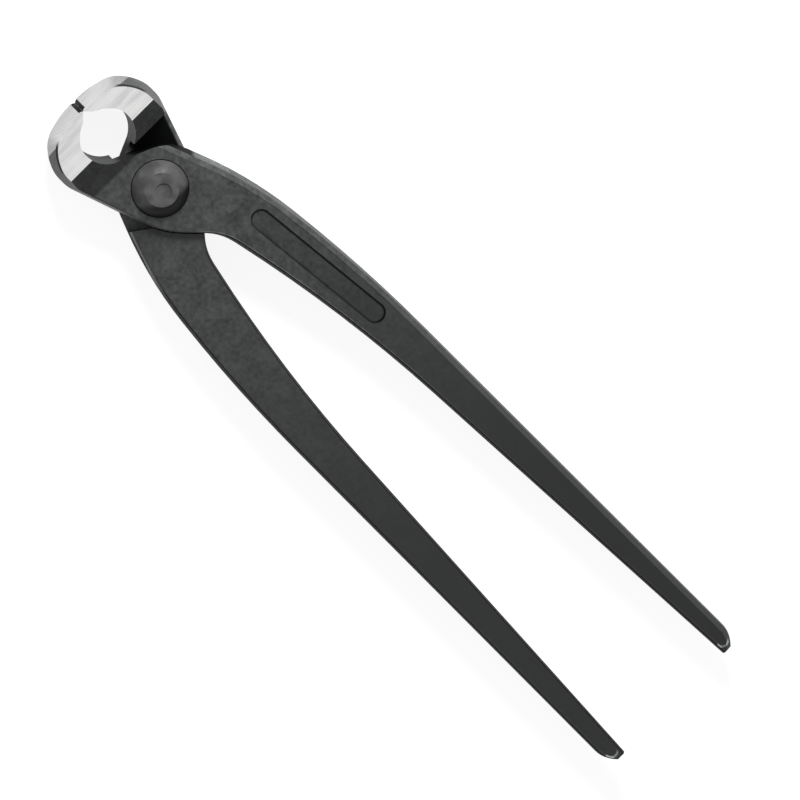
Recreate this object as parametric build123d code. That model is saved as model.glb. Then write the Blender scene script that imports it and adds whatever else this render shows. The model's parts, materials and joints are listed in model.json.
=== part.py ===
from build123d import *
import os
from math import cos, pi, radians, tan

os.makedirs("parts", exist_ok=True)

# Nippers for twisting and cutting tying wire: two drop forged levers and one rivet.
# X runs from the nose (minus) to the handle ends (plus), Z along the rivet, its head up.
# The levers are drawn about the plane in which their joint plates meet, with the bite
# all but closed. At the end all is raised so that the rivet's flat end lies at zero.
# Both levers are one forging: the rear one is the front one turned over about X.

# Overall sizes
jaw_reach = 28.95
head_width = 32.8
jaw_thickness = 16.0
handle_reach = 192.5
handle_spread = 46.4

# Joint
hub_thickness = 14.0
lap_radius = 14.4
opening_angle = 36.0
lap_clearance = 0.3
lap_play = 0.04

# Bite: an oval hollow for the wire behind two cutting edges
edge_gap = 0.02
hollow_width = 14.7
groove_width = 2.0
groove_depth = 0.65

# Forging
draft_angle = 8.0
jaw_draft_angle = 12.0
shoulder_drop = 0.6
handle_root_thickness = 9.8
handle_mid_thickness = 9.2
handle_end_thickness = 6.4
handle_bevel = 1.2
edge_radius = 0.6

# Recessed panel on the front handle
panel_length = 44.2
panel_width = 5.5
panel_depth = 0.45
panel_start = 21.6
panel_rise = 12.3
panel_angle = 5.7

# Rivet
shank_diameter = 10.0
shank_clearance = 0.05
head_diameter = 14.6
head_clearance = 0.25
head_seat_depth = 3.0
head_rim_height = 0.3
head_rise = 3.1
head_bow = 0.25
head_flat_diameter = 8.8
mark_diameter = 4.35
mark_depth = 0.35
mark_offset = 0.6
tail_diameter = 13.0
tail_depth = 1.6

# How far a cut runs past what it cuts
overrun = 5.0

# Corners of a front lever in plan, its jaw on the minus Y side. Each has its share of a
# size along X, its share of a size along Y, and how much of its shorter side the rounding
# takes. First come shares of jaw reach and half the head width.
head_shares = [(-1.14, 0.1, 0), (-1.105, -0.305, 0), (-0.979, -1.0, 0.5)]
nose_shares = [
    (-1.05, 0.1, 0),
    (-1.05, -0.268, 0.45),
    (-0.9865, -0.688, 0.5),
    (-0.853, -0.896, 0.5),
    (-0.711, -1.0, 0.4),
]
# Shares of the lap radius, both
crotch_shares = [(0.641, -0.556, 0.32), (1.45, 0.2, 0.25)]
neck_shares = [(-1.6, 0.256, 0)]
hub_edge_shares = [(-0.507, 0.64, 0.235), (3.66, 2.5, 0)]
# Shares of handle reach and half the handle spread
handle_shares = [
    (0.2994, 0.4656, 0.85),
    (1.0, 0.775, 0),
    (1.0, 0.893, 0),
    (0.9855, 1.0, 0.75),
    (0.2743, 0.9785, 0.6),
    (0.0841, 0.7996, 0.37),
]
# Shares of jaw reach and half the hollow width, then of lap radius and the same
bite_shares = [(-0.908, -0.259, 0.3), (-0.87, -0.558, 0.35), (-0.76, -1.0, 0.45)]
bite_back_shares = [(-1.014, -1.0, 0.65)]
# Where the jaw's rear corner, its ground part and the shoulder are, as shares of its length
# in front of the step
jaw_back_share = 0.1843
ground_end_share = 0.3026
shoulder_end_share = 0.1036
# Where the slope behind the shoulder ends, as a share of jaw reach, and how much of the
# shorter side each rounding takes
slope_end_share = 0.342
jaw_back_round_share = 0.1
slope_round_share = 0.3
hub_round_share = 0.25
handle_round_share = 0.2
step_share = 0.889
handle_mid_share = 0.3135

half_jaw = jaw_thickness / 2
half_hub = hub_thickness / 2
half_head = head_width / 2
half_spread = handle_spread / 2
half_hollow = hollow_width / 2
step_reach = lap_radius * step_share
jaw_length = jaw_reach - step_reach
far_reach = handle_reach + overrun


def corners(shares, x_size, y_size):
    """Corners of an outline, worked out from their shares."""
    return [(x * x_size, y * y_size, rounding) for x, y, rounding in shares]


def rounded_face(outline):
    """A flat face on corners given as x, y and the rounding's share of the shorter side."""
    ends = []
    pieces = []
    for i, (x, y, rounding) in enumerate(outline):
        corner = Vector(x, y)
        back = Vector(*outline[i - 1][:2]) - corner
        ahead = Vector(*outline[(i + 1) % len(outline)][:2]) - corner
        cut = rounding * min(back.length, ahead.length)
        start = corner + back.normalized() * cut
        end = corner + ahead.normalized() * cut
        if rounding > 0:
            half_turn = (pi - radians(back.get_angle(ahead))) / 2
            inward = (back.normalized() + ahead.normalized()).normalized()
            middle = corner + inward * (cut * tan(half_turn / 2))
            pieces.append(ThreePointArc(start, middle, end))
        ends.append((start, end))
    for i in range(len(outline)):
        pieces.append(Line(ends[i - 1][1], ends[i][0]))
    return make_face(Wire.combine(pieces)[0].edges())


def grown(outline, gap):
    """The same corners with every side moved outwards by a gap."""
    moved = []
    for i, (x, y, rounding) in enumerate(outline):
        corner = Vector(x, y)
        before = (corner - Vector(*outline[i - 1][:2])).normalized().rotate(Axis.Z, -90)
        after = (Vector(*outline[(i + 1) % len(outline)][:2]) - corner).normalized().rotate(Axis.Z, -90)
        corner += (before + after) * (gap / (1 + before.dot(after)))
        moved.append((corner.X, corner.Y, rounding))
    return moved


def forged_outline():
    """Outer outline of the forging at its parting plane."""
    outline = corners(head_shares, jaw_reach, half_head)
    outline.append((-step_reach - jaw_length * jaw_back_share, -half_head, jaw_back_round_share))
    outline += corners(crotch_shares, lap_radius, lap_radius)
    outline += corners(handle_shares, handle_reach, half_spread)
    outline += corners(neck_shares, lap_radius, lap_radius)
    return outline


def forged_blank():
    """The outline drawn out both ways from the parting plane, with draft."""
    upper = extrude(rounded_face(forged_outline()), amount=half_jaw, taper=draft_angle)
    return upper + mirror(upper, about=Plane.XY)


def jaw_blank():
    """The nose and the jaw's steeper draft, well outside the rest of the lever."""
    outline = corners(nose_shares, jaw_reach, half_head)
    outline += [
        (2 * far_reach, -half_head, 0),
        (2 * far_reach, 2 * far_reach, 0),
        (-2 * jaw_reach, 2 * far_reach, 0),
    ]
    upper = extrude(rounded_face(outline), amount=half_jaw, taper=jaw_draft_angle)
    return upper + mirror(upper, about=Plane.XY)


def side_solid():
    """Side view of the lever: thick jaw, slope to the joint plate, tapering handle."""
    nose = -jaw_reach - overrun
    ground_end = -step_reach - jaw_length * ground_end_share
    shoulder_end = -step_reach - jaw_length * shoulder_end_share
    slope_end = -jaw_reach * slope_end_share
    handle_mid = handle_reach * handle_mid_share
    outline = [
        (nose, half_jaw, 0),
        (ground_end, half_jaw, 0),
        (shoulder_end, half_jaw - shoulder_drop, slope_round_share),
        (slope_end, half_hub, slope_round_share),
        (lap_radius, half_hub, hub_round_share),
        (handle_mid, handle_mid_thickness / 2, handle_round_share),
        (far_reach, handle_end_thickness / 2, 0),
        (far_reach, -handle_end_thickness / 2, 0),
        (handle_mid, -handle_mid_thickness / 2, handle_round_share),
        (-step_reach, -handle_root_thickness / 2, 0),
        (-step_reach, -half_hub, 0),
        (shoulder_end, shoulder_drop - half_jaw, slope_round_share),
        (ground_end, -half_jaw, 0),
        (nose, -half_jaw, 0),
    ]
    return extrude(Plane.XZ * rounded_face(outline), amount=handle_reach, both=True)


def border(faces):
    """Edges that belong to just one of the faces."""
    edges = []
    for edge in [e for face in faces for e in face.edges()]:
        twins = [e for e in edges if (e @ 0.5 - edge @ 0.5).length < edge_radius / 100]
        if twins:
            edges.remove(twins[0])
        else:
            edges.append(edge)
    return edges


def level_faces(body, side):
    """Faces that look up (side 1) or down (side -1), or lean from that by a little."""
    least = cos(radians(2 * draft_angle))
    return [f for f in body.faces() if f.normal_at().Z * side > least]


def eased(body):
    """The front outer edge of the handle bevelled, then all long edges rounded."""
    start = lap_radius * hub_edge_shares[0][0]
    end = handle_reach * handle_shares[3][0]
    inwards = Vector(0, -edge_radius, -edge_radius)

    def outer(edge):
        point = edge @ 0.5
        return start < point.X < end and body.solid().is_inside(point + inwards)

    body = chamfer([e for e in border(level_faces(body, 1)) if outer(e)], handle_bevel)
    for side in (1, -1):
        edges = [e for e in border(level_faces(body, side)) if (e @ 0.5).X > start]
        body = fillet(edges, edge_radius)
    return body


def plan_solid():
    """Walls square to the faces: groove, bite and free edge of the hub."""
    edge_x = groove_depth - jaw_reach
    groove_y = -(groove_width + edge_gap) / 2
    outline = [
        (-2 * jaw_reach, -handle_spread, 0),
        (-2 * jaw_reach, groove_y, 0),
        (-jaw_reach, groove_y, 0),
        (edge_x, -edge_gap / 2, 0),
    ]
    outline += corners(bite_shares, jaw_reach, half_hollow)
    outline += corners(bite_back_shares, lap_radius, half_hollow)
    outline += corners(hub_edge_shares, lap_radius, lap_radius)
    outline += [
        (far_reach, handle_spread, 0),
        (far_reach, -handle_spread, 0),
    ]
    return extrude(rounded_face(outline), amount=jaw_thickness, both=True)


def lap_pocket():
    """Room below the joint plate for the other lever's plate, from shut to fully open."""
    level = lap_play / 2
    shape = rounded_face(grown(forged_outline(), lap_clearance))
    shut = Rot(180, 0, 0) * extrude(shape, amount=half_jaw, taper=draft_angle)
    swept = Pos(0, 0, level) * (shut + Rot(0, 0, -opening_angle) * shut)
    along = (Align.MIN, Align.CENTER, Align.CENTER)
    swept &= Pos(-step_reach, 0, 0) * Box(far_reach, handle_spread, 2 * jaw_thickness, align=along)
    length = step_reach + lap_radius * crotch_shares[1][0]
    beside = Box(length, handle_spread, jaw_thickness, align=(Align.MIN, Align.MAX, Align.MAX))
    return swept + Pos(-step_reach, 0, level) * beside


def lever():
    """One forged lever, the front one, before its rivet hole is made."""
    body = eased(forged_blank() & side_solid())
    body &= jaw_blank()
    body &= plan_solid()
    return body - lap_pocket()


def upright(radius, bottom, height):
    """A round bar along Z from a given level."""
    return Pos(0, 0, bottom) * Cylinder(radius, height, align=(Align.CENTER, Align.CENTER, Align.MIN))


def panel():
    """Shallow recess with round ends that follows the face of the handle."""
    outline = SlotOverall(panel_length, panel_width)
    turn = Rot(0, 0, panel_angle)
    place = Pos(panel_start, panel_rise, 0) * turn * Pos(panel_length / 2, 0, 0)
    well = extrude(place * outline, amount=jaw_thickness)
    return well - Pos(0, 0, -panel_depth) * side_solid()


def front_lever():
    """Lever with the rivet head's seat and a running hole for the shank."""
    body = lever() - panel()
    body -= upright(shank_diameter / 2 + shank_clearance, -jaw_thickness, 2 * jaw_thickness)
    seat = half_hub - head_seat_depth
    return body - upright(head_diameter / 2 + head_clearance, seat, jaw_thickness)


def tail_flare():
    """Flared end of the rivet, filling the countersink of the rear lever."""
    flare = Cone(
        tail_diameter / 2, shank_diameter / 2, tail_depth,
        align=(Align.CENTER, Align.CENTER, Align.MIN),
    )
    return Pos(0, 0, -half_hub) * flare


def rear_lever():
    """The same forging turned over, with the hole that the rivet fills."""
    body = Rot(180, 0, 0) * lever()
    body -= upright(shank_diameter / 2, -jaw_thickness, 2 * jaw_thickness)
    return body - tail_flare()


def rivet():
    """Domed head with a flat and a punch mark a little off its middle, shank and flared end."""
    rim = half_hub + head_rim_height
    crown = half_hub + head_rise
    seat = half_hub - head_seat_depth
    head_radius = head_diameter / 2
    flat_radius = head_flat_diameter / 2
    bow = Vector((head_radius + flat_radius) / 2 + head_bow, (rim + crown) / 2 + head_bow)
    half = [
        Line((0, seat), (head_radius, seat)),
        Line((head_radius, seat), (head_radius, rim)),
        ThreePointArc((head_radius, rim), bow, (flat_radius, crown)),
        Line((flat_radius, crown), (0, crown)),
        Line((0, crown), (0, seat)),
    ]
    head = revolve(Plane.XZ * make_face(Wire.combine(half)[0].edges()), axis=Axis.Z)
    head -= Pos(mark_offset, 0, 0) * upright(mark_diameter / 2, crown - mark_depth, mark_depth)
    return head + upright(shank_diameter / 2, -half_hub, seat + half_hub) + tail_flare()


def write(name, solid):
    """Raise a part so that the rivet's flat end lies at zero, and write it."""
    raised = Pos(0, 0, half_hub) * solid
    raised.label = name
    export_step(raised, "parts/" + name + ".step")


write("front_lever", front_lever())
write("rear_lever", rear_lever())
write("rivet", rivet())
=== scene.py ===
import bpy
import json
import math
from mathutils import Matrix, Vector
from types import SimpleNamespace

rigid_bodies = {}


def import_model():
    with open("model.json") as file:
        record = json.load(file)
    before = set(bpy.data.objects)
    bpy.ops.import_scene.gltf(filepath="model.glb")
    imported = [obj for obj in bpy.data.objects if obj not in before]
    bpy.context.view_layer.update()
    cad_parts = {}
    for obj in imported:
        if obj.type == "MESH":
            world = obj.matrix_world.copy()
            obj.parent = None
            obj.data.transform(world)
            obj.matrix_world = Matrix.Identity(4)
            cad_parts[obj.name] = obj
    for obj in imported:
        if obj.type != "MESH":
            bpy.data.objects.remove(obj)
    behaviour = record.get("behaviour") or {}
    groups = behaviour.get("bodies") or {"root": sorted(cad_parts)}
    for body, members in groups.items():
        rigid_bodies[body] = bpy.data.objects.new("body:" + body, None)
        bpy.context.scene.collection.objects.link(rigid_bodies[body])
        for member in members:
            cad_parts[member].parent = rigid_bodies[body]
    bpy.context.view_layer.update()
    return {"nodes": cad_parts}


for leftOver in list(bpy.data.objects):
    bpy.data.objects.remove(leftOver)

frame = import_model()
nodes = frame["nodes"]
print("frame loaded:", sorted(nodes))

# Shader helpers. Each value is a socket or a number, and a share runs from 0 to 1.


def newMaterial(name):
    material = bpy.data.materials.new(name)
    material.use_nodes = True
    material.node_tree.nodes.clear()
    return material, material.node_tree


def addNode(tree, kind, **settings):
    node = tree.nodes.new("ShaderNode" + kind)
    for key, value in settings.items():
        setattr(node, key, value)
    return node


def plug(tree, source, socket):
    if isinstance(source, bpy.types.NodeSocket):
        tree.links.new(source, socket)
    else:
        socket.default_value = source


def maths(tree, operation, first, second=0.0, third=0.0):
    node = addNode(tree, "Math", operation=operation)
    for i, value in enumerate((first, second, third)):
        plug(tree, value, node.inputs[i])
    return node.outputs[0]


def less(tree, value, limit):
    return maths(tree, "LESS_THAN", value, limit)


def more(tree, value, limit):
    return maths(tree, "GREATER_THAN", value, limit)


def remainder(tree, share):
    return maths(tree, "SUBTRACT", 1.0, share)


def weigh(tree, first, second, weights):
    return maths(tree, "ADD", maths(tree, "MULTIPLY", first, weights[0]),
                 maths(tree, "MULTIPLY", second, weights[1]))


def distance(tree, first, second):
    return maths(tree, "SQRT", maths(tree, "ADD", maths(tree, "MULTIPLY", first, first),
                                     maths(tree, "MULTIPLY", second, second)))


def both(tree, *shares):
    total = shares[0]
    for share in shares[1:]:
        total = maths(tree, "MULTIPLY", total, share)
    return total


def either(tree, *shares):
    total = shares[0]
    for share in shares[1:]:
        total = maths(tree, "MAXIMUM", total, share)
    return total


def step(tree, value, low, high):  # rises smoothly from 0 at low to 1 at high
    node = addNode(tree, "MapRange", interpolation_type="SMOOTHSTEP")
    plug(tree, value, node.inputs[0])
    node.inputs[1].default_value = low
    node.inputs[2].default_value = high
    return node.outputs[0]


def before(tree, value, limit, blur):
    return remainder(tree, step(tree, value, limit - blur, limit + blur))


def between(tree, value, low, high, blur):
    rise = step(tree, value, low - blur, low + blur)
    fall = step(tree, value, high - blur, high + blur)
    return maths(tree, "SUBTRACT", rise, fall)


def blendColour(tree, share, first, second):
    node = addNode(tree, "Mix", data_type="RGBA")
    plug(tree, share, node.inputs[0])
    plug(tree, first, node.inputs[6])  # the Mix node's sockets for colours
    plug(tree, second, node.inputs[7])
    return node.outputs[2]


def blendNumber(tree, share, first, second):
    node = addNode(tree, "Mix", data_type="FLOAT")
    plug(tree, share, node.inputs[0])
    plug(tree, first, node.inputs[2])  # and its sockets for numbers
    plug(tree, second, node.inputs[3])
    return node.outputs[0]


def fade(tree, share, amount):  # 1 where the share is 0, and the amount where it is 1
    return blendNumber(tree, share, 1.0, amount)


def grow(tree, colour, amount):
    node = addNode(tree, "VectorMath", operation="SCALE")
    plug(tree, colour, node.inputs[0])
    plug(tree, amount, node.inputs["Scale"])
    return node.outputs[0]


def splitVector(tree, vector):
    node = addNode(tree, "SeparateXYZ")
    plug(tree, vector, node.inputs[0])
    return node.outputs


def noise(tree, where, size, detail=2.0, roughness=0.5, stretch=(1, 1, 1)):
    mapping = addNode(tree, "Mapping")
    plug(tree, where, mapping.inputs["Vector"])
    mapping.inputs["Scale"].default_value = stretch
    node = addNode(tree, "TexNoise")
    plug(tree, mapping.outputs[0], node.inputs["Vector"])
    node.inputs["Scale"].default_value = 1 / size
    node.inputs["Detail"].default_value = detail
    node.inputs["Roughness"].default_value = roughness
    return node.outputs[0]


def bump(tree, height, strength, depth, under=None):
    node = addNode(tree, "Bump")
    plug(tree, height, node.inputs["Height"])
    node.inputs["Strength"].default_value = strength
    node.inputs["Distance"].default_value = depth
    if under is not None:
        plug(tree, under, node.inputs["Normal"])
    return node.outputs[0]


def principled(tree, colour, roughness, normal=None):
    shader = addNode(tree, "BsdfPrincipled")
    plug(tree, colour, shader.inputs["Base Color"])
    plug(tree, roughness, shader.inputs["Roughness"])
    if normal is not None:
        plug(tree, normal, shader.inputs["Normal"])
    return shader


def mixShader(tree, share, first, second):
    node = addNode(tree, "MixShader")
    plug(tree, share, node.inputs[0])
    plug(tree, first.outputs[0], node.inputs[1])
    plug(tree, second.outputs[0], node.inputs[2])
    return node


def endMaterial(tree, shader):
    out = addNode(tree, "OutputMaterial")
    plug(tree, shader.outputs[0], out.inputs["Surface"])


# Levers: black forging skin, jaws and nose ground bright. Lengths and places are in metres, in the
# part's own frame. A pair of places or levels is a soft edge's start and end, or a band's two
# edges where a third number gives their blur.

leverLook = {
    # Skin paint by the joint and by the handle ends: the darker ends are painted shade, added to the
    # lamp's falloff
    "skinByJoint": (0.0460, 0.0492, 0.0474, 1),
    "skinByEnds": (0.0190, 0.0200, 0.0197, 1),
    # where the mottled skin by the joint gives way to the even skin of the ends, which is painted darker
    # as shade
    "jointToEnds": (0.015, 0.13),
    # painted shade on the front handle and painted light on the rear handle, towards their ends
    "frontHandle": (0.03, 0.06, 0.89),  # from, to, shade
    "rearHandle": (0.07, 0.13, 1.15),
    "sideBlend": (-0.002, 0.002),
    "mottle": (3.2, 0.25),  # by the joint, by the ends
    "patchSize": 0.0013,
    "cloudSize": 0.013 / 3,
    "grainSize": 0.000325,
    "patchRoughness": 0.55,
    "mottleWeights": (0.6, 0.4),  # patches, clouds
    "heightWeights": (1.0, 0.3),  # patches, grain
    "skinBump": (0.35, 0.00015),  # strength, depth
    "skinRoughness": (0.40, 0.56),  # lowest, highest
    "skinSpecular": 0.28,

    # Dull places, which keep little gloss, as painted shade: black in the groove, on the lap face and by
    # the recess, or the skin's own paint made darker on walls, rims and hollows
    "shadeBlack": (0.0012, 0.0013, 0.0013, 1),
    "shadeRoughness": 0.6,
    "shadeSpecular": 0.04,
    "dullShade": 0.4,
    "shoulderDull": 0.28,
    "jawRimDull": 1.0,
    "hollowDull": 0.45,
    "panelRimDull": 0.7,

    # Painted shade and painted light on the skin: under 1 is darker, over 1 lighter
    "shoulderShade": 0.36,
    "foldShade": 0.7,
    # painted light that lifts the shadow on the lap faces
    "lapShade": 2.4,
    "bevelShade": (1.35, 3.0),  # by the joint, by the ends
    "bevelLineShade": 0.35,
    "rimLineShade": 3.6,
    "rootShade": 0.6,
    "stepShade": 2.2,
    "tipShade": 13.0,
    "panelShade": 0.72,
    "panelRimShade": 0.15,

    # Ground steel
    "steelColour": (0.71, 0.71, 0.705, 1),
    "steelDull": (0.56, 0.56, 0.565, 1),
    "steelBlend": (0.36, 0.62),
    "grindLineSize": 0.00022,
    "grindLineStretch": (1, 0.03, 0.03),
    "grindLineDetail": (3.0, 0.6),  # detail, roughness
    "streakSize": 0.0055 / 3,
    "streakStretch": (1, 0.12, 0.12),
    "steelWeights": (0.5, 0.5),  # lines, streaks
    "steelBump": (0.12, 0.00003),  # strength, depth
    "steelRoughness": (0.24, 0.38),  # lowest, highest
    # painted highlight along the end of the ground side face
    "endHighlightShade": 1.35,
    "endHighlightDepth": (0.00032, 0.00018),  # before the ground face ends
    # painted shade on the ground nose, deeper where it turns to the sides
    "noseShade": 0.785,
    "noseCornerShade": 0.52,
    "noseCornerFacing": (0.3, 0.78),

    # How level a face is: 1 lies flat, 0 is an upright wall
    "wallLevel": 0.35,
    "flatLevel": 0.9,
    "bevelLevel": (0.4, 0.6),
    "bevelTopLevel": (0.93, 0.98),
    "bevelLineLevel": (0.87, 0.99, 0.006),
    "rimLevel": (0.80, 0.90),
    "rimLineLevel": (0.91, 0.988, 0.01),

    # Places on the jaws and the joint
    "middle": 0.007,
    "groundHeight": 0.008,
    "groundDepth": (0.00012, 0.00003),  # below the ground face
    "groundEnd": -0.01769,
    "groundBlur": 0.00003,
    "noseEnd": -0.0248,
    "noseBlur": 0.00004,
    "noseLean": 0.225,
    "noseFacing": -0.25,
    "grooveHalf": 0.00107,
    "grooveEnd": -0.0278,
    "hollowHalf": 0.0078,
    "hollowEnd": -0.0088,
    "hollowBlur": 0.0002,
    "jawRim": (-0.0268, -0.0205, 0.0006),
    "jawRimHeight": (0.0060, 0.0065),
    "shoulderEnd": -0.0104,
    "shoulderBlur": 0.0006,
    "shoulderHeight": 0.0065,
    "fold": (-0.01462, -0.01432, 0.0001),
    "lapHeight": 0.0004,
    "lapSide": (0.0, 0.003),
    "neckSlope": 0.333,
    "neckRim": (0.0098, 0.0106),
    "recess": (-0.0128, 0.0005, 0.0008),
    "recessFacing": -0.3,
    "rootHeight": (0.003, 0.0055),  # lowest, highest
    "rootEnd": (0.006, 0.017),
    "rootStep": (0.0005, 0.01, 0.0004),
    "rootStepAside": 0.008,

    # Places on the handles
    "easedFrom": (-0.0076, -0.0072),
    "rimFrom": (0.012, 0.024),
    "rootRimFrom": (0.001, 0.003),
    "rootRimAside": 0.0122,
    "rimLineFrom": (0.10, 0.14),
    "tipMiddle": (0.1891, 0.0202),  # X, and how far aside
    "tipRing": (0.0014, 0.00195, 0.00008),
    "tipFront": (-0.0004, 0.0002),
    "tipSide": (0.0006, 0.0015),
    "tipLevel": (0.5, 0.6),

    # Recessed panel on the front handle
    "panelStart": (0.0216, 0.0123),  # X, Y
    "panelAngle": 5.7,
    "panelLength": 0.0442,
    "panelWidth": 0.0055,
    "panelHeight": 0.003,  # at least this far above the middle
    "panelSlack": 0.00002,
    "panelRim": (0.0007, 0.00035),  # inside the panel's outline
    "panelLowerRim": (-0.0022, -0.0006, 0.5),  # from, to, how dark
}


def leverSurface(tree, look):
    place = addNode(tree, "TexCoord")
    x, y, z = splitVector(tree, place.outputs["Object"])
    facingX, facingY, facingZ = splitVector(tree, place.outputs["Normal"])
    at = SimpleNamespace(where=place.outputs["Object"], x=x, y=y, z=z,
                         facingX=facingX, facingY=facingY, facingZ=facingZ)
    at.height = maths(tree, "ABSOLUTE", maths(tree, "SUBTRACT", z, look["middle"]))
    at.aside = maths(tree, "ABSOLUTE", y)
    at.level = maths(tree, "ABSOLUTE", facingZ)
    at.wall = less(tree, at.level, look["wallLevel"])
    at.flat = more(tree, at.level, look["flatLevel"])
    at.lapFace = both(tree, at.flat, less(tree, at.height, look["lapHeight"]))
    at.smooth = step(tree, x, *look["jointToEnds"])
    at.frontSide = step(tree, y, *look["sideBlend"])
    # The bevel runs along each lever's outer edge, on the side where its joint plate lies
    at.tilted = maths(tree, "MULTIPLY", facingY, facingZ)
    at.bevelSide = both(tree, more(tree, at.tilted, 0.0),
                        more(tree, maths(tree, "MULTIPLY", facingY, y), 0.0))
    at.plainSide = remainder(tree, at.bevelSide)
    return at


def groundShares(tree, at, look):
    edge = [look["groundHeight"] - depth for depth in look["groundDepth"]]
    sideFace = both(tree, at.flat, step(tree, at.height, *edge),
                    before(tree, at.x, look["groundEnd"], look["groundBlur"]))
    lean = maths(tree, "MULTIPLY_ADD", at.height, look["noseLean"], at.x)
    noseFace = both(tree, at.wall, less(tree, at.facingX, look["noseFacing"]),
                    before(tree, lean, look["noseEnd"], look["noseBlur"]))
    return sideFace, noseFace


# Painted black shade in the groove, on the lap face, and on the joint plate's free edge by the recess.
def blackShare(tree, at, look):  # groove, lap face, and the joint plate's free edge by the recess
    groove = both(tree, at.wall, less(tree, at.aside, look["grooveHalf"]),
                  less(tree, at.x, look["grooveEnd"]))
    across = maths(tree, "MULTIPLY", at.facingZ, at.y)
    outwards = maths(tree, "MULTIPLY_ADD", at.x, look["neckSlope"], across)
    lap = both(tree, at.lapFace, step(tree, across, *look["lapSide"]),
               remainder(tree, step(tree, outwards, *look["neckRim"])))
    freeEdge = both(tree, at.wall, less(tree, at.facingX, look["recessFacing"]),
                    between(tree, at.x, *look["recess"]))
    return either(tree, groove, lap, freeEdge)


# Painted shade on the walls and small roundings along the handles, without the bevel.
def rimShare(tree, at, look):  # walls and small roundings along the handles, without the bevel
    steep = remainder(tree, step(tree, at.level, *look["rimLevel"]))
    aside = maths(tree, "MULTIPLY_ADD", at.x, -look["neckSlope"], at.aside)
    rootRim = both(tree, step(tree, at.x, *look["rootRimFrom"]),
                   more(tree, aside, look["rootRimAside"]))
    begun = either(tree, step(tree, at.x, *look["rimFrom"]), rootRim)
    return both(tree, begun, steep, at.plainSide)


# Painted shade on the unground shoulder and slope behind the ground side face.
def shoulderShare(tree, at, look):
    return both(tree, at.flat, more(tree, at.height, look["shoulderHeight"]),
                between(tree, at.x, look["groundEnd"], look["shoulderEnd"], look["shoulderBlur"]))


# The panel floor is painted darker as shade in the recess, with a painted shadow along its rim that is
# fainter on the lower side.
def panelShares(tree, at, look):
    mapping = addNode(tree, "Mapping", vector_type="TEXTURE")
    mapping.inputs["Location"].default_value = (*look["panelStart"], 0)
    mapping.inputs["Rotation"].default_value = (0, 0, math.radians(look["panelAngle"]))
    plug(tree, at.where, mapping.inputs["Vector"])
    along, across = splitVector(tree, mapping.outputs[0])[:2]
    halfLength = look["panelLength"] / 2
    halfWidth = look["panelWidth"] / 2
    fromMiddle = maths(tree, "ABSOLUTE", maths(tree, "SUBTRACT", along, halfLength))
    past = maths(tree, "SUBTRACT", fromMiddle, halfLength - halfWidth)
    away = distance(tree, maths(tree, "MAXIMUM", past, 0.0), across)
    panel = both(tree, more(tree, at.z, look["middle"] + look["panelHeight"]),
                 less(tree, away, halfWidth + look["panelSlack"]))
    rim = step(tree, away, *[halfWidth - depth for depth in look["panelRim"]])
    low, high, lowerRim = look["panelLowerRim"]
    strength = blendNumber(tree, step(tree, across, low, high), lowerRim, 1.0)
    return panel, both(tree, panel, rim, strength)


# Where the painted shade takes over: the black places, the handle rims, the shoulder, a line along the
# top of the jaw's wall, the hollow's walls and the panel's rim.
def dullShare(tree, at, look, black, shoulder, panelRim):
    jawRim = both(tree, at.wall, step(tree, at.height, *look["jawRimHeight"]),
                  between(tree, at.x, *look["jawRim"]))
    hollow = both(tree, at.wall, less(tree, at.aside, look["hollowHalf"]),
                  between(tree, at.x, look["grooveEnd"], look["hollowEnd"], look["hollowBlur"]))
    return either(tree, black, rimShare(tree, at, look),
                  both(tree, shoulder, look["shoulderDull"]),
                  both(tree, jawRim, look["jawRimDull"]),
                  both(tree, hollow, look["hollowDull"]),
                  both(tree, panelRim, look["panelRimDull"]))


# Besides the mottling, it paints shade on the front handle and light on the rear handle towards their
# ends.
def handleShade(tree, at, look, patches):  # mottled by the joint, even towards the handle ends
    clouds = noise(tree, at.where, look["cloudSize"])
    uneven = maths(tree, "SUBTRACT", weigh(tree, patches, clouds, look["mottleWeights"]), 0.5)
    strength = blendNumber(tree, at.smooth, *look["mottle"])
    shade = maths(tree, "MULTIPLY_ADD", uneven, strength, 1.0)
    rearSide = remainder(tree, at.frontSide)
    for side, (start, end, amount) in ((at.frontSide, look["frontHandle"]),
                                       (rearSide, look["rearHandle"])):
        handle = both(tree, side, step(tree, at.x, start, end))
        shade = both(tree, shade, fade(tree, handle, amount))
    return shade


# Painted highlight on the bevel, painted shade as a dark line along it, and a painted highlight line on
# roundings that face -Y on top, +Y below
def edgeShade(tree, at, look):
    bevel = both(tree, at.bevelSide, step(tree, at.level, *look["bevelLevel"]),
                 remainder(tree, step(tree, at.level, *look["bevelTopLevel"])))
    bevelAmount = blendNumber(tree, at.smooth, *look["bevelShade"])
    eased = step(tree, at.x, *look["easedFrom"])
    bevelLine = both(tree, eased, at.bevelSide, between(tree, at.level, *look["bevelLineLevel"]))
    lineBegun = either(tree, at.frontSide, step(tree, at.x, *look["rimLineFrom"]))
    rimLine = both(tree, eased, at.plainSide, less(tree, at.tilted, 0.0), lineBegun,
                   between(tree, at.level, *look["rimLineLevel"]))
    return both(tree, fade(tree, bevel, bevelAmount), fade(tree, bevelLine, look["bevelLineShade"]),
                fade(tree, rimLine, look["rimLineShade"]))


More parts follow.
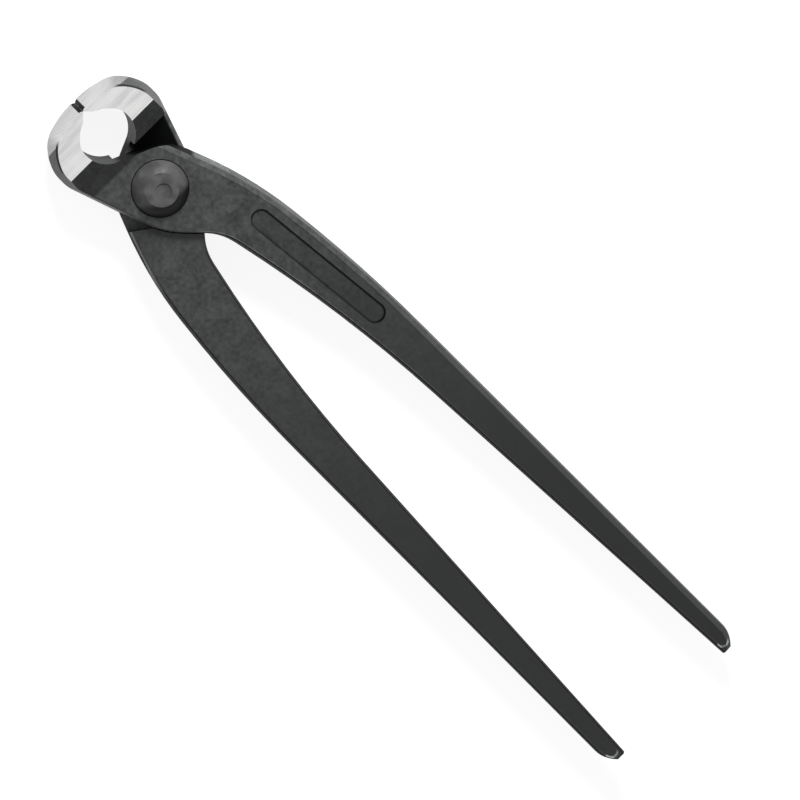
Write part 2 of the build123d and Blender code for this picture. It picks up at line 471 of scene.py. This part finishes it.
# Painted highlight: a bright arc round each handle end, on the side that faces -Y.
def tipShare(tree, at, look):  # bright arc round each handle end, on the side that faces -Y
    middleX, middleAside = look["tipMiddle"]
    alongTip = maths(tree, "SUBTRACT", at.x, middleX)
    asideTip = maths(tree, "SUBTRACT", at.aside, middleAside)
    acrossTip = maths(tree, "MULTIPLY", asideTip, maths(tree, "SIGN", at.y))
    return both(tree, step(tree, at.level, *look["tipLevel"]),
                between(tree, distance(tree, alongTip, asideTip), *look["tipRing"]),
                step(tree, alongTip, *look["tipFront"]),
                remainder(tree, step(tree, acrossTip, *look["tipSide"])))


# Painted shade on the handle's root beside the joint plate, and painted light on the step there.
def rootShade(tree, at, look):  # the handle's root beside the joint plate, and the step there
    lowest, highest = look["rootHeight"]
    low = less(tree, at.height, highest)
    root = both(tree, at.flat, low, more(tree, at.height, lowest),
                remainder(tree, step(tree, at.x, *look["rootEnd"])))
    stepWall = both(tree, at.wall, low, between(tree, at.x, *look["rootStep"]),
                    more(tree, at.aside, look["rootStepAside"]))
    return both(tree, fade(tree, root, look["rootShade"]), fade(tree, stepWall, look["stepShade"]))


def steelShader(tree, at, look, sideFace, noseFace):
    lines = noise(tree, at.where, look["grindLineSize"], *look["grindLineDetail"],
                  look["grindLineStretch"])
    streaks = noise(tree, at.where, look["streakSize"], stretch=look["streakStretch"])
    share = step(tree, weigh(tree, lines, streaks, look["steelWeights"]), *look["steelBlend"])
    # painted highlight at the ground face's end, and painted shade on the nose and its corners
    endHighlight = both(tree, sideFace,
                step(tree, at.x, *[look["groundEnd"] - depth for depth in look["endHighlightDepth"]]))
    corner = both(tree, noseFace,
                  step(tree, maths(tree, "ABSOLUTE", at.facingY), *look["noseCornerFacing"]))
    shade = both(tree, fade(tree, endHighlight, look["endHighlightShade"]), fade(tree, noseFace, look["noseShade"]),
                 fade(tree, corner, look["noseCornerShade"]))
    colour = blendColour(tree, share, look["steelDull"], look["steelColour"])
    steel = principled(tree, grow(tree, colour, shade),
                       blendNumber(tree, lines, *look["steelRoughness"]),
                       bump(tree, lines, *look["steelBump"]))
    steel.inputs["Metallic"].default_value = 1.0
    return steel


def leverMaterial(look):
    material, tree = newMaterial("forgedSteelGroundJaw")
    at = leverSurface(tree, look)
    sideFace, noseFace = groundShares(tree, at, look)
    black = blackShare(tree, at, look)
    shoulder = shoulderShare(tree, at, look)
    panel, panelRim = panelShares(tree, at, look)
    # painted shade line along the fold between the shoulder and the slope
    fold = both(tree, at.flat, between(tree, at.x, *look["fold"]))

    patches = noise(tree, at.where, look["patchSize"], roughness=look["patchRoughness"])
    grain = noise(tree, at.where, look["grainSize"])
    shade = both(tree, handleShade(tree, at, look, patches), edgeShade(tree, at, look),
                 rootShade(tree, at, look), fade(tree, shoulder, look["shoulderShade"]),
                 fade(tree, fold, look["foldShade"]), fade(tree, at.lapFace, look["lapShade"]),
                 fade(tree, tipShare(tree, at, look), look["tipShade"]),
                 fade(tree, panel, look["panelShade"]), fade(tree, panelRim, look["panelRimShade"]))
    # painted shade: the skin paint darkens from the joint towards the handle ends
    skinColour = blendColour(tree, at.smooth, look["skinByJoint"], look["skinByEnds"])
    skinPaint = grow(tree, skinColour, shade)
    skinHeight = weigh(tree, patches, grain, look["heightWeights"])
    skin = principled(tree, skinPaint, blendNumber(tree, grain, *look["skinRoughness"]),
                      bump(tree, skinHeight, *look["skinBump"]))
    skin.inputs["Specular IOR Level"].default_value = look["skinSpecular"]

    dullPaint = grow(tree, skinPaint, look["dullShade"])
    # painted shade: a dark, low-gloss copy of the skin paint, black in the black places
    paintedShade = principled(tree, blendColour(tree, black, dullPaint, look["shadeBlack"]), look["shadeRoughness"])
    paintedShade.inputs["Specular IOR Level"].default_value = look["shadeSpecular"]

    steel = steelShader(tree, at, look, sideFace, noseFace)
    forged = mixShader(tree, either(tree, sideFace, noseFace), skin, steel)
    dull = dullShare(tree, at, look, black, shoulder, panelRim)
    endMaterial(tree, mixShader(tree, dull, forged, paintedShade))
    return material


leverSteel = leverMaterial(leverLook)
for name in ("front_lever", "rear_lever"):
    nodes[name].material_slots[0].material = leverSteel
print("levers finished")

# Rivet: dull steel with hammer dents, with painted shade on its slope, darkest where the slope faces the
# handles

rivetLook = {
    "dark": (0.062, 0.063, 0.062, 1),
    "light": (0.108, 0.109, 0.108, 1),
    "roughness": (0.36, 0.48),  # lowest, highest
    "specular": 0.18,
    "dentSize": 0.0034,
    "dentDetail": 1.0,
    "dentBlend": (0.3, 0.7),
    "dentBump": (0.6, 0.0005),  # strength, depth
    "grainSize": 0.0006,
    "grainBump": (0.1, 0.00004),
    "slopeLevel": (0.93, 0.985),
    "slopeShade": 0.86,
    "shadedSideTurn": -0.35,
    "shadedSideFacing": (0.12, 0.42),
    "shadedSideShade": 0.05,
}


def rivetMaterial(look):
    material, tree = newMaterial("rivetSteel")
    place = addNode(tree, "TexCoord")
    where = place.outputs["Object"]
    facingX, facingY, facingZ = splitVector(tree, place.outputs["Normal"])
    dents = noise(tree, where, look["dentSize"], look["dentDetail"])
    grain = noise(tree, where, look["grainSize"])
    # painted shade on the slope, darkest on the side that faces the handles
    towardHandles = maths(tree, "MULTIPLY_ADD", facingY, look["shadedSideTurn"], facingX)
    shadedSide = step(tree, towardHandles, *look["shadedSideFacing"])
    slope = remainder(tree, step(tree, facingZ, *look["slopeLevel"]))
    shade = both(tree, fade(tree, slope, look["slopeShade"]), fade(tree, shadedSide, look["shadedSideShade"]))
    share = step(tree, dents, *look["dentBlend"])
    colour = grow(tree, blendColour(tree, share, look["dark"], look["light"]), shade)
    dented = bump(tree, dents, *look["dentBump"])
    steel = principled(tree, colour, blendNumber(tree, grain, *look["roughness"]),
                       bump(tree, grain, *look["grainBump"], dented))
    steel.inputs["Specular IOR Level"].default_value = look["specular"]
    endMaterial(tree, steel)
    return material


nodes["rivet"].material_slots[0].material = rivetMaterial(rivetLook)
print("rivet finished")

# Floor, lamp and world

stageLook = {
    "floorSize": 4.0,
    "floorLevel": -0.00102,
    "floorColour": (0.32, 0.32, 0.32, 1),
    "seenGlow": 0.89,
    "white": (1, 1, 1, 1),
    "ambient": 0.28,
    "lampPlace": (-0.24, 0.26, 0.30),
    "lampAim": (0.03, 0.0, 0.007),
    "lampSize": 0.20,
    "lampPower": 2.4,
}


def seenShare(tree):  # 1 for what the camera, metal and glass see, 0 for light on the object
    path = addNode(tree, "LightPath")
    return either(tree, path.outputs["Is Camera Ray"], path.outputs["Is Glossy Ray"],
                  path.outputs["Is Transmission Ray"])


def floorMaterial(look):
    material, tree = newMaterial("paleFloor")
    paint = addNode(tree, "BsdfDiffuse")
    paint.inputs["Color"].default_value = look["floorColour"]
    glow = addNode(tree, "Emission")
    glow.inputs["Color"].default_value = look["white"]
    plug(tree, both(tree, seenShare(tree), look["seenGlow"]), glow.inputs["Strength"])
    total = addNode(tree, "AddShader")
    plug(tree, paint.outputs[0], total.inputs[0])
    plug(tree, glow.outputs[0], total.inputs[1])
    endMaterial(tree, total)
    return material


def addFloor(look):
    half = look["floorSize"] / 2
    z = look["floorLevel"]
    mesh = bpy.data.meshes.new("floor")
    corners = [(-half, -half, z), (half, -half, z), (half, half, z), (-half, half, z)]
    mesh.from_pydata(corners, [], [(0, 1, 2, 3)])
    mesh.materials.append(floorMaterial(look))
    floor = bpy.data.objects.new("floor", mesh)
    bpy.context.scene.collection.objects.link(floor)


def addWorld(look):
    world = bpy.data.worlds.new("paleStudio")
    bpy.context.scene.world = world
    world.use_nodes = True
    tree = world.node_tree
    tree.nodes.clear()
    sky = addNode(tree, "Background")
    sky.inputs["Color"].default_value = look["white"]
    plug(tree, blendNumber(tree, seenShare(tree), look["ambient"], 1.0), sky.inputs["Strength"])
    out = addNode(tree, "OutputWorld")
    plug(tree, sky.outputs[0], out.inputs["Surface"])


def addLamp(look):
    data = bpy.data.lights.new("keyLamp", "AREA")
    data.shape = "DISK"
    data.size = look["lampSize"]
    data.energy = look["lampPower"]
    lamp = bpy.data.objects.new("keyLamp", data)
    bpy.context.scene.collection.objects.link(lamp)
    lamp.location = look["lampPlace"]
    toward = Vector(look["lampAim"]) - Vector(look["lampPlace"])
    lamp.rotation_euler = toward.to_track_quat("-Z", "Y").to_euler()


addFloor(stageLook)
addWorld(stageLook)
addLamp(stageLook)

# Camera: looks down on the tool, tilted about Y and rolled so that the handles run to one corner

cameraLook = {
    "tilt": 13.0,
    "roll": 45.04,
    "lens": 500.0,
    "sensor": 36.0,
    "clip": (0.1, 20.0),
    "frameWidth": 0.20288,  # what the picture spans at the rivet's head
    "imageSize": 800,
    "pivotPixel": (160.1, 188.5),  # where the picture has the pivot point
    "pivotPoint": (0.0, 0.0, 0.014),
}


def addCamera(look):
    tilt = math.radians(look["tilt"])
    roll = math.radians(look["roll"])
    along = Vector((math.cos(tilt), 0, math.sin(tilt)))
    across = Vector((0, 1, 0))
    right = along * math.cos(roll) + across * math.sin(roll)
    up = across * math.cos(roll) - along * math.sin(roll)
    back = right.cross(up)
    pixel = look["frameWidth"] / look["imageSize"]
    middle = look["imageSize"] / 2
    column, row = look["pivotPixel"]
    target = Vector(look["pivotPoint"]) + right * (middle - column) * pixel - up * (middle - row) * pixel
    away = look["frameWidth"] * look["lens"] / look["sensor"]
    data = bpy.data.cameras.new("photoCamera")
    data.sensor_fit = "HORIZONTAL"
    data.sensor_width = look["sensor"]
    data.lens = look["lens"]
    data.clip_start, data.clip_end = look["clip"]
    camera = bpy.data.objects.new("photoCamera", data)
    bpy.context.scene.collection.objects.link(camera)
    turn = Matrix((right, up, back)).transposed()
    camera.matrix_world = Matrix.Translation(target + back * away) @ turn.to_4x4()
    bpy.context.scene.camera = camera


addCamera(cameraLook)
bpy.context.scene.view_settings.view_transform = "Standard"
print("stage ready")
